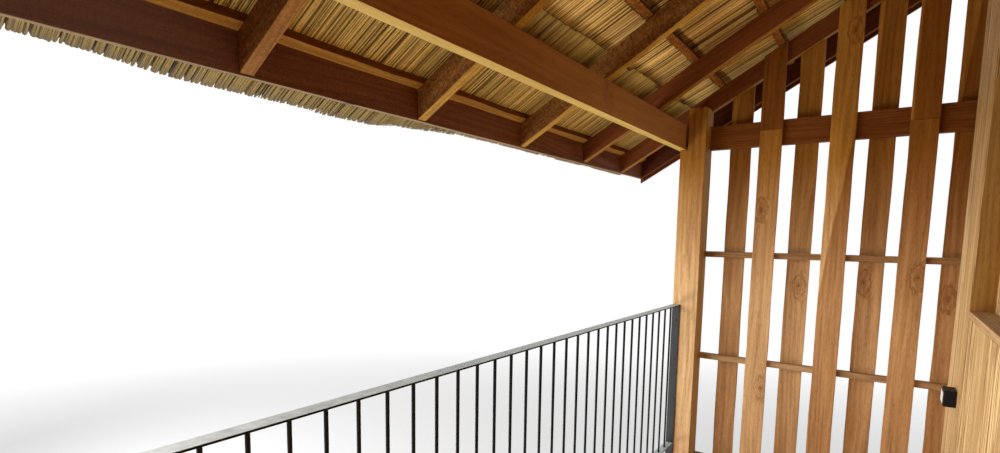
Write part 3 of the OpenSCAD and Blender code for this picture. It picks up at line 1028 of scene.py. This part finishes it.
fill_leaf_group(leaf_group, given, result)
print("leaf group:", len(leaf_group.nodes), "nodes")


# %% Leaf materials
def thatch_material(name, colours, green_share, green_from, tip_share, weather_and_shade_to, sunken_shade, purlin_share):
    material, tree, place = new_material(name)
    turned = put(tree, "ShaderNodeMapping", {"Vector": place, "Rotation": ALONG["slope"]})
    share = attribute(tree, "share")
    facing_up = number_of(tree, put(tree, "ShaderNodeNewGeometry").outputs["Normal"], 2)
    # Grey on faces that look up is weathering; grey and dark on the fringe is weathering and painted shade.
    weather_and_shade = reckon(tree, "MAXIMUM", share_of(tree, facing_up, 0.0, 0.4),
                     share_of(tree, share, weather_and_shade_to, weather_and_shade_to - 0.03))
    leaf = put(tree, "ShaderNodeGroup", {}, node_tree=leaf_group)
    feed(tree, leaf, {
        "Vector": turned.outputs[0], "Strand": attribute(tree, "strand"), "Share": share,
        "Across": attribute(tree, "across"), "Green Share": green_share, "Green From": green_from,
        "Tip Share": tip_share, "Weather And Shade": weather_and_shade, "Purlin Share": purlin_share,
        "Sunken Shade Share": sunken_shade,
    })
    feed(tree, leaf, {label: (*colour, 1) for label, colour in zip(("Straw", "Shade", "Green"), colours)})
    end_material(tree, {"Base Color": leaf.outputs["Color"], "Roughness": 0.75, "Specular IOR Level": 0.25},
                 leaf.outputs["Height"], 0.5, 0.001)
    return material


GOLD = ((1.0, 0.66, 0.20), (0.60, 0.32, 0.075), (0.62, 0.46, 0.10))
STRAW = ((1.0, 0.77, 0.26), (0.86, 0.59, 0.165), (0.70, 0.56, 0.130))
NOWHERE = 9.0
gold_leaf = thatch_material("golden_leaf", GOLD, green_share=0.03, green_from=2.0, tip_share=0.02,
                            weather_and_shade_to=0.0, sunken_shade=0.08, purlin_share=0.52)
eave_leaf = thatch_material("eave_leaf", STRAW, green_share=0.05, green_from=0.66, tip_share=0.06,
                            weather_and_shade_to=0.34, sunken_shade=0.015, purlin_share=NOWHERE)
print("leaf materials ready")

# %% [markdown]
# ## The thatch tree
# The CAD course gives the four lines that its layers run between: butt and head, lower and
# upper face. The tree fills the space between with strips, row by row. Units end a little
# before or after each other, and the strips at the edge of a unit are thin, so dark gaps
# open there. A core inside each course stops the light; its near-black colour is painted
# shade for the deep thatch seen between the strips.

# %% Thatch tree inputs
thatch_tree, given = new_tree("leaf course", [
    ("Strip", "Object"), ("Columns", "Int"), ("Layers", "Int"), ("Half Width", "Float"),
    ("Butt Low", "Vector"), ("Butt High", "Vector"), ("Head Low", "Vector"), ("Head High", "Vector"),
    ("Strip Width", "Float"), ("Strip Thickness", "Float"), ("Unit Width", "Float"),
    ("Unit Ragged", "Float"), ("Strip Ragged", "Float"), ("Trim", "Float"), ("Seed", "Int"),
    ("Material", "Material"),
])
# The tips were cut by hand, so their line wanders: place along the eave, share of the trim.
TIP_LINE = [(0.0, 0.74), (0.30, 0.74), (0.384, 0.74), (0.396, 0.60), (0.427, 0.48), (0.462, 0.32),
            (0.508, 0.0), (0.527, 0.0), (0.558, 0.08), (0.615, 0.09), (0.658, 0.19), (0.719, 0.42),
            (1.0, 0.25)]
print("tip line:", len(TIP_LINE), "points")


# %% Thatch tree helpers
def random_of(tree, low, high, seed):
    """A random number between low and high for each point."""
    sockets = {2: low, 3: high, "Seed": seed}
    return put(tree, "FunctionNodeRandomValue", sockets, data_type="FLOAT").outputs[1]


def between(tree, factor, a, b):
    return put(tree, "ShaderNodeMix", {0: factor, 4: a, 5: b}, data_type="VECTOR").outputs[1]


def rotation(tree, kind, sockets, **options):
    return put(tree, "FunctionNode" + kind, sockets, **options).outputs[0]


def xyz(tree, **parts):
    sockets = {label.upper(): value for label, value in parts.items()}
    return put(tree, "ShaderNodeCombineXYZ", sockets).outputs[0]


def cut_line(tree, along):
    """How much of the trim is cut off at a place along the eave."""
    cut = put(tree, "ShaderNodeFloatCurve", {"Factor": 1.0, "Value": along})
    curve = cut.mapping.curves[0]
    curve.points[0].location = TIP_LINE[0]
    curve.points[1].location = TIP_LINE[-1]
    for spot in TIP_LINE[1:-1]:
        curve.points.new(*spot)
    cut.mapping.update()
    return cut.outputs[0]


print("thatch helpers ready")


# %% Thatch tree
def fill_thatch_tree(tree, given):
    seed = given["Seed"]

    def own_random(low, high, step):
        return random_of(tree, low, high, reckon(tree, "ADD", seed, step))

    count = times(tree, given["Columns"], given["Layers"])
    line = put(tree, "GeometryNodeMeshLine", {"Count": count, "Offset": (0, 0, 0)}, mode="OFFSET")
    index = put(tree, "GeometryNodeInputIndex").outputs[0]
    layer = reckon(tree, "FLOOR", reckon(tree, "DIVIDE", index, given["Columns"]))
    column = reckon(tree, "SUBTRACT", index, times(tree, layer, given["Columns"]))
    along = reckon(tree, "DIVIDE", reckon(tree, "ADD", column, own_random(0.15, 0.85, 0)), given["Columns"])
    reach = reckon(tree, "SUBTRACT", given["Half Width"], times(tree, 0.5, given["Strip Width"]))
    x = times(tree, reckon(tree, "MULTIPLY_ADD", along, 2.0, -1.0), reach)
    height = reckon(tree, "DIVIDE", reckon(tree, "ADD", layer, 0.5), given["Layers"])

    units = reckon(tree, "ADD", reckon(tree, "DIVIDE", x, given["Unit Width"]), times(tree, seed, 7.3))
    unit_random = cells_along(tree, units).outputs["Color"]
    unit_edge = cells_along(tree, units, "DISTANCE_TO_EDGE").outputs["Distance"]

    butt = between(tree, height, given["Butt Low"], given["Butt High"])
    head = between(tree, height, given["Head Low"], given["Head High"])
    run = vector_of(tree, "SUBTRACT", head, butt)
    length = put(tree, "ShaderNodeVectorMath", {0: run}, operation="LENGTH").outputs["Value"]
    course = vector_of(tree, "NORMALIZE", run)
    ragged = times(tree, number_of(tree, unit_random, 0), given["Unit Ragged"])
    ragged = reckon(tree, "MULTIPLY_ADD", own_random(0.0, 1.0, 1), given["Strip Ragged"], ragged)
    at_butt = reckon(tree, "MULTIPLY_ADD", cut_line(tree, along), given["Trim"], times(tree, ragged, 0.25))
    at_head = times(tree, number_of(tree, unit_random, 1), given["Unit Ragged"])
    at_head = reckon(tree, "MULTIPLY_ADD", own_random(0.0, 1.0, 2), given["Strip Ragged"], at_head)
    at_head = reckon(tree, "MULTIPLY_ADD", height, 0.04, at_head)
    length = reckon(tree, "SUBTRACT", length, reckon(tree, "ADD", at_butt, at_head))

    start = put(tree, "ShaderNodeVectorMath", {0: course, "Scale": at_butt}, operation="SCALE").outputs[0]
    place = vector_of(tree, "ADD", vector_of(tree, "ADD", butt, start), xyz(tree, x=x))
    points = put(tree, "GeometryNodeSetPosition", {"Geometry": line.outputs[0], "Position": place})
    slope = reckon(tree, "ARCTAN2", number_of(tree, course, 2), number_of(tree, course, 1))
    on_slope = rotation(tree, "EulerToRotation", {0: xyz(tree, x=slope)})
    sway = xyz(tree, y=own_random(-0.25, 0.25, 3), z=own_random(-0.006, 0.006, 4))
    turn = rotation(tree, "RotateRotation", {0: on_slope, 1: rotation(tree, "EulerToRotation", {0: sway})},
                    rotation_space="LOCAL")
    wide = times(tree, own_random(0.7, 1.35, 5), given["Strip Width"])
    thin_edge = share_of(tree, unit_edge, 0.01, 0.05, 0.6, 1.0)
    size = xyz(tree, x=times(tree, wide, thin_edge), y=length, z=given["Strip Thickness"])
    strip = put(tree, "GeometryNodeObjectInfo", {"Object": given["Strip"]})
    strips = put(tree, "GeometryNodeInstanceOnPoints",
                 {"Points": points.outputs[0], "Instance": strip.outputs["Geometry"],
                  "Rotation": turn, "Scale": size})

    strand = put(tree, "GeometryNodeStoreNamedAttribute",
                 {"Geometry": strips.outputs[0], "Name": "strand", "Value": own_random(0.03, 1.0, 6)},
                 data_type="FLOAT", domain="INSTANCE")
    real = put(tree, "GeometryNodeRealizeInstances", {"Geometry": strand.outputs[0]})
    known = put(tree, "GeometryNodeInputNamedAttribute", {"Name": "strand"}, data_type="FLOAT")
    apart = xyz(tree, x=times(tree, known.outputs[0], 60.0))
    spot = vector_of(tree, "ADD", put(tree, "GeometryNodeInputPosition").outputs[0], apart)
    wobble = put(tree, "ShaderNodeTexNoise", {"Vector": spot, "Scale": 4.0, "Detail": 1.0})
    push = vector_of(tree, "SUBTRACT", wobble.outputs["Color"], (0.5, 0.5, 0.5))
    waved = put(tree, "GeometryNodeSetPosition",
                {"Geometry": real.outputs[0], "Offset": stretched(tree, push, 0.006, 0.0, 0.008)})
    end_tree(tree, given, waved.outputs[0])


fill_thatch_tree(thatch_tree, given)
print("thatch tree:", len(thatch_tree.nodes), "nodes")


# %% One strip and the core
def leaf_strip():
    """A strip one unit long and wide, thin at its edges, rounded at the butt."""
    work = bmesh.new()
    share = work.verts.layers.float.new("share")
    across = work.verts.layers.float.new("across")
    rings = []
    for length, width in ((0.0, 0.72), (0.008, 1.0), (0.5, 1.0), (1.0, 0.9)):
        ring = ring_of(work, ((a * width, length, b) for a, b in
                              ((-0.5, 0.05), (-0.05, -0.5), (0.5, -0.05), (0.05, 0.5))))
        for i, point in enumerate(ring):
            point[share] = length
            point[across] = i % 2
        rings.append(ring)
    skin(work, rings)
    return loose_shape("leaf_strip", work)


def course_lines(node):
    """Butt low, butt high, head low and head high of a course, seen from its gable end."""
    spots = sorted({(round(v.co.y, 5), round(v.co.z, 5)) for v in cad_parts[node].data.vertices})
    lines = sorted(spots[:2], key=lambda p: p[1]) + sorted(spots[2:], key=lambda p: p[1])
    return [Vector((0, y, z)) for y, z in lines]


def course_core(name, lines, half, from_butt, from_head):
    """A slab inside the course, which the leaf shader paints near black as shade; from_butt and
    from_head are the metres it stays back.
    """
    butt_low, butt_high, head_low, head_high = lines
    length = (head_low - butt_low).length
    spots = []
    for share in (from_butt / length, 1 - from_head / length):
        low, high = butt_low.lerp(head_low, share), butt_high.lerp(head_high, share)
        spots += [low.lerp(high, 0.38), low.lerp(high, 0.62)]
    work = bmesh.new()
    skin(work, [ring_of(work, ((x, *spots[i].yz) for i in (0, 2, 3, 1))) for x in (-half, half)])
    return plain_mesh(name, work)


strip = leaf_strip()
print("strip:", len(strip.data.polygons), "faces")

# %% Thatch courses
COLUMNS = 420
EAVE_LAYERS, UPPER_LAYERS = 11, 5
COURSE = {"Strip": strip, "Columns": COLUMNS, "Strip Width": 0.0135, "Strip Thickness": 0.006,
          "Unit Width": 0.19, "Unit Ragged": 0.030, "Strip Ragged": 0.006}
CORE_BACK = 0.05
EAVE_CORE_BACK = 0.14
EAVE_TRIM = 0.1
CORE_SIDE = 0.02
STRIP_SIDE = 0.006

for number in range(1, 8):
    node = f"thatch_course_{number}"
    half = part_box(node)[1].x
    lines = course_lines(node)
    first = number == 1
    back = EAVE_CORE_BACK if first else CORE_BACK
    core = course_core(node + "_core", lines, half - CORE_SIDE, back, CORE_BACK)
    ends = dict(zip(("Butt Low", "Butt High", "Head Low", "Head High"), lines))
    own = {"Layers": EAVE_LAYERS if first else UPPER_LAYERS, "Half Width": half - STRIP_SIDE,
           "Trim": EAVE_TRIM if first else 0.0, "Seed": number * 10,
           "Material": eave_leaf if first else gold_leaf}
    settle(grow(f"leaf_course_{number}", thatch_tree, {**COURSE, **ends, **own}, core), "thatch", node)
bpy.data.objects.remove(strip)

# %% [markdown]
# ## Railing
#
# The railing is flat steel bars, 50 by 6, with round bars welded between them. It is
# painted satin black. A pale film on the upper faces stands for dust and salt and also
# paints the sky's reflection there, brighter towards +x; it shows as a light band along the
# handrail. A dust picture could be laid over it; here the way a face looks decides, so the
# film lies on every face that looks up. Screws hold the end plates to the posts.

# %% Paint
PAINT = (0.010, 0.010, 0.011)
DUST_AND_SHEEN = (0.52, 0.62, 0.62)
BRIGHT_DUST_AND_SHEEN = (0.86, 0.95, 0.98)
STEEL = {"arris": 0.001, "wave": 0.0, "step": 0}


def painted_steel(name, gloss):
    material, tree, place = new_material(name)
    facing_up = number_of(tree, put(tree, "ShaderNodeNewGeometry").outputs["Normal"], 2)
    film_patches = cloud(tree, place, 26.0, 5.0)
    # The pale film on upward faces is dust and salt and painted sky reflection; it gets brighter towards
    # +x.
    film_share = times(tree, share_of(tree, facing_up, 0.5, 0.95), share_of(tree, film_patches, 0.25, 0.75, 0.55, 1.0))
    brighter_toward_x = share_of(tree, number_of(tree, place, 0), 0.3, 0.95)
    dust_and_sheen_film = mixed(tree, brighter_toward_x, (*DUST_AND_SHEEN, 1), (*BRIGHT_DUST_AND_SHEEN, 1))
    end_material(tree, {"Base Color": mixed(tree, film_share, (*PAINT, 1), dust_and_sheen_film),
                        "Roughness": share_of(tree, film_patches, 0.2, 0.8, 0.30, 0.45),
                        "Specular IOR Level": gloss}, cloud(tree, place, 260.0), 0.15)
    return material


paint = painted_steel("black_railing_paint", 0.5)
bar_paint = painted_steel("black_bar_paint", 0.12)
dress("handrail", "handrail_steel", "railing_steel", "x", [bar_paint], 40, **STEEL)
dress("bottom_rail", "bottom_rail_steel", "railing_steel", "x", [paint], 41, **STEEL)
dress("rail_plates", "rail_plate_steel", "railing_steel", "z", [paint], 42, **STEEL)

# %% [markdown]
# The upright bars are all one shape, turned about its axis with a bead of weld at both
# ends, and so are the screws. They could be copied one by one; a small tree sets the shape
# down in a row instead. Two rows end up in one piece because the second run starts from
# the mesh that the first one made.


# %% Row tree
def turned_shape(name, profile, sides=12):
    """A closed shape turned about the z axis from (radius, height) pairs."""
    work = bmesh.new()
    turns = [2 * math.pi * i / sides for i in range(sides)]
    skin(work, [ring_of(work, ((r * math.cos(a), r * math.sin(a), z) for a in turns)) for r, z in profile])
    return loose_shape(name, work)


row_tree, given = new_tree("row", [("Shape", "Object"), ("Count", "Int"), ("Start", "Vector"),
                                   ("Step", "Vector"), ("Turn", "Rotation"), ("Material", "Material")])
line = put(row_tree, "GeometryNodeMeshLine",
           {"Count": given["Count"], "Start Location": given["Start"], "Offset": given["Step"]},
           mode="OFFSET")
shape = put(row_tree, "GeometryNodeObjectInfo", {"Object": given["Shape"]})
row = put(row_tree, "GeometryNodeInstanceOnPoints",
          {"Points": line.outputs[0], "Instance": shape.outputs["Geometry"], "Rotation": given["Turn"]})
end_tree(row_tree, given, row.outputs[0])


def grow_rows(name, shape, material, rows):
    """Grows rows of (count, start, step, turn) onto one mesh."""
    piece, mesh = None, None
    for count, start, step, turn in rows:
        if piece:
            bpy.data.objects.remove(piece)
        values = {"Shape": shape, "Count": count, "Start": start, "Step": step, "Turn": turn,
                  "Material": material}
        piece = grow(name, row_tree, values, mesh)
        mesh = piece.data
    bpy.data.objects.remove(shape)
    return piece


print("row tree:", len(row_tree.nodes), "nodes")

# %% Bars
BAR_RADIUS = 0.006
WELD_RADIUS = 0.0085
WELD_SIDE = 0.0068
WELD_HEIGHT = 0.006
BAR_STEPS = ((18, 0.1059), (19, 0.1017))
NO_TURN = (0.0, 0.0, 0.0)

low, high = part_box("balusters")
length = high.z - low.z
bar = turned_shape("baluster_bar", [
    (WELD_RADIUS, 0), (WELD_SIDE, WELD_HEIGHT / 2), (BAR_RADIUS, WELD_HEIGHT),
    (BAR_RADIUS, length - WELD_HEIGHT), (WELD_SIDE, length - WELD_HEIGHT / 2), (WELD_RADIUS, length)])
start = Vector((low.x + BAR_RADIUS, (low.y + high.y) / 2, low.z))
rows = []
for count, step in BAR_STEPS:
    rows.append((count, start, (step, 0, 0), NO_TURN))
    start = start + Vector((step * (count - 1) + BAR_STEPS[1][1], 0, 0))
settle(grow_rows("baluster_bars", bar, bar_paint, rows), "railing_steel", "balusters")

# %% Screws
SCREWS = 4
SCREW_LOW, SCREW_STEP = 1.967, 0.2593
PLATE_THICK, SCREW_IN = 0.007, 0.030
SCREW_PROFILE = [(0.0065, 0), (0.0065, 0.0012), (0.005, 0.003), (0.003, 0.0032), (0.0026, 0.0020)]

screw_metal, tree, place = new_material("screw_metal")
worn = mixed(tree, cloud(tree, place, 400.0), (0.004, 0.004, 0.005, 1), (0.03, 0.03, 0.03, 1))
end_material(tree, {"Base Color": worn, "Roughness": 0.5, "Specular IOR Level": 0.3})
low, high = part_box("rail_plates")
rows = []
for side in (-1, 1):
    start = Vector((side * (high.x - PLATE_THICK), low.y + SCREW_IN, SCREW_LOW))
    rows.append((SCREWS, start, (0, 0, SCREW_STEP), (0, -side * math.pi / 2, 0)))
screw = turned_shape("plate_screw", SCREW_PROFILE)
settle(grow_rows("plate_screws", screw, screw_metal, rows), "railing_steel")

# %% [markdown]
# ## Lamp and glass
#
# A small cast box light sits on the wall beside the screen; its ribbed lens looks at the
# screen. The window panes are plain float glass, clear with a green edge. Flat colours
# would make all three look like plastic, so the casting has grit, the lens has ribs and
# the glass a faint haze.

# %% Lamp and glass
cast, tree, place = new_material("lamp_housing")
grit = cloud(tree, place, 900.0)
end_material(tree, {"Base Color": mixed(tree, grit, (0.003, 0.003, 0.003, 1), (0.009, 0.009, 0.008, 1)),
                    "Roughness": 0.6, "Specular IOR Level": 0.2}, grit, 0.3, 0.0004)
dress("wall_lamp", "wall_lamp_housing", "lamp_case", "z", [cast], 50, arris=0.004, wave=0.0, step=0)

opal, tree, place = new_material("opal_lens")
ribs = put(tree, "ShaderNodeTexWave", {"Vector": place, "Scale": 60.0}, wave_type="BANDS",
           bands_direction="X").outputs["Fac"]
end_material(tree, {"Base Color": mixed(tree, ribs, (0.78, 0.78, 0.74, 1), (0.86, 0.86, 0.84, 1)),
                    "Roughness": 0.2}, ribs)
dress("lamp_lens", "lamp_lens_opal", "lamp_lens", "z", [opal], 51, **STEEL)

glass, tree, place = new_material("window_glass")
haze = share_of(tree, cloud(tree, place, 6.0, 3.0), 0.3, 0.8, 0.0, 0.06)
end_material(tree, {"Base Color": (0.86, 0.93, 0.90, 1), "Roughness": haze,
                    "Transmission Weight": 1.0, "IOR": 1.45})
dress("window_glass", "window_glass_panes", "window_glass", "z", [glass], 52, arris=0.0005, wave=0.0,
      step=0)

# %% [markdown]
# ## Stage and light
#
# A pale floor stands for the ground, and a white sky lights the veranda from all sides, so
# the roof keeps its own shadow, as in the photograph. Panels ahead of the railing stand
# for the open sky in front and for the light that comes up under the eave. Only light
# that the camera or a glossy surface sees gets the plain white background.

# %% Floor
FLOOR_HALF = 60
FLOOR_SEEN = (0.86, 0.86, 0.86, 1)
FLOOR_BOUNCE = (0.48, 0.46, 0.41, 1)
FADE_FROM, FADE_TO = 4.0, 14.0

corners = [(x * FLOOR_HALF, y * FLOOR_HALF, 0) for x, y in ((-1, -1), (1, -1), (1, 1), (-1, 1))]
floor_mesh = bpy.data.meshes.new("studio_floor")
floor_mesh.from_pydata(corners, [], [(0, 1, 2, 3)])
studio_floor = bpy.data.objects.new("studio_floor", floor_mesh)
scene.collection.objects.link(studio_floor)

floor_paint, tree, place = new_material("studio_floor")
path = put(tree, "ShaderNodeLightPath")
seen = reckon(tree, "MAXIMUM", path.outputs["Is Camera Ray"], path.outputs["Is Glossy Ray"])
near = put(tree, "ShaderNodeBsdfPrincipled",
           {"Base Color": mixed(tree, seen, FLOOR_BOUNCE, FLOOR_SEEN), "Roughness": 0.9})
far = put(tree, "ShaderNodeEmission", {"Color": WHITE, "Strength": 1.0})
distance = put(tree, "ShaderNodeVectorMath", {0: place}, operation="LENGTH").outputs["Value"]
away = share_of(tree, distance, FADE_FROM, FADE_TO)
blended = put(tree, "ShaderNodeMixShader", {0: times(tree, away, seen), 1: near.outputs[0],
                                          2: far.outputs[0]})
put(tree, "ShaderNodeOutputMaterial", {"Surface": blended.outputs[0]})
floor_mesh.materials.append(floor_paint)
print("floor", 2 * FLOOR_HALF, "m square")

# %% Sky
SKY_LIGHT = 0.35
world = bpy.data.worlds.new("studio_sky")
scene.world = world
world.use_nodes = True
tree = world.node_tree
tree.nodes.clear()
path = put(tree, "ShaderNodeLightPath")
seen = reckon(tree, "MAXIMUM", path.outputs["Is Camera Ray"], path.outputs["Is Glossy Ray"])
seen = reckon(tree, "MAXIMUM", seen, path.outputs["Is Transmission Ray"])
soft = put(tree, "ShaderNodeBackground", {"Color": WHITE, "Strength": SKY_LIGHT})
plain = put(tree, "ShaderNodeBackground", {"Color": WHITE, "Strength": 1.0})
sky = put(tree, "ShaderNodeMixShader", {0: seen, 1: soft.outputs[0], 2: plain.outputs[0]})
put(tree, "ShaderNodeOutputWorld", {"Surface": sky.outputs[0]})
print("sky at", SKY_LIGHT)


# %% Panels
def panel(name, place, aim, size, watts):
    light = bpy.data.lights.new(name, "AREA")
    light.shape = "RECTANGLE"
    light.size, light.size_y = size
    light.energy = watts
    holder = bpy.data.objects.new(name, light)
    holder.location = place
    holder.rotation_euler = (Vector(aim) - Vector(place)).to_track_quat("-Z", "Y").to_euler()
    holder.visible_camera = False
    scene.collection.objects.link(holder)


panel("front_sky", (2.5, -6.5, 5.0), (-1.0, 0, 2.4), (11, 5), 900)
panel("low_front", (-0.6, -3.4, 0.75), (-0.4, 0, 4.5), (7, 1.6), 225)
panel("back_fill", (0, 7.0, 4.5), (0, 0, 2.5), (9, 4), 260)
print("lit")

# %% Finish
scene.view_settings.view_transform = "Standard"
